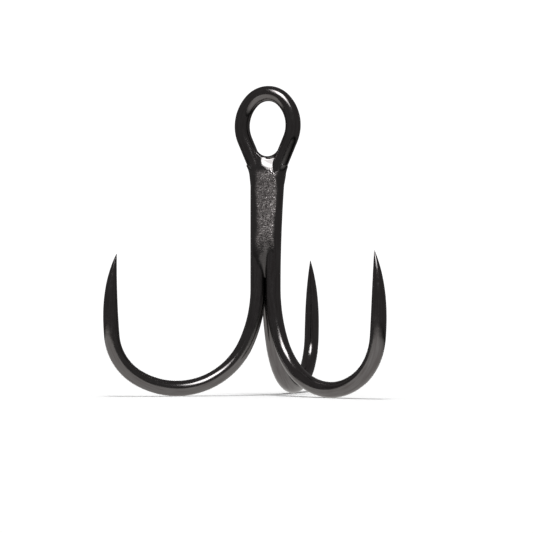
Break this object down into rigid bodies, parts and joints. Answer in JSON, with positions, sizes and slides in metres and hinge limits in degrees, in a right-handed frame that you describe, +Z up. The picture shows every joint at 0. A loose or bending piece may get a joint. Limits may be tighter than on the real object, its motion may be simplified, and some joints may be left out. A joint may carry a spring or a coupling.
{
  "type": "treble hook",
  "caption": "Treble fishing hook: an eye on a short shank above barbless, round-bend hooks set at equal angles.",
  "frame": {"origin": "centre of the eye, at its widest", "axes": "+Z up the shank, from the bends to the eye; X across the eye, in its plane; -Y towards the two front hooks, +Y towards the rear hook"},
  "size_m": [0.0281, 0.0246, 0.0303],
  "materials": {
    "plated_wire": "black nickel plating on hardened carbon steel wire, glossy",
    "plated_braze": "black nickel plating over brazing filler, finely pitted"
  },
  "bodies": {
    "root": {"double_hook_wire": "plated_wire", "single_hook_wire": "plated_wire", "braze_core": "plated_braze", "braze_front_fillet": "plated_braze", "braze_left_fillet": "plated_braze", "braze_right_fillet": "plated_braze", "braze_throat": "plated_braze"}
  },
  "joints": []
}
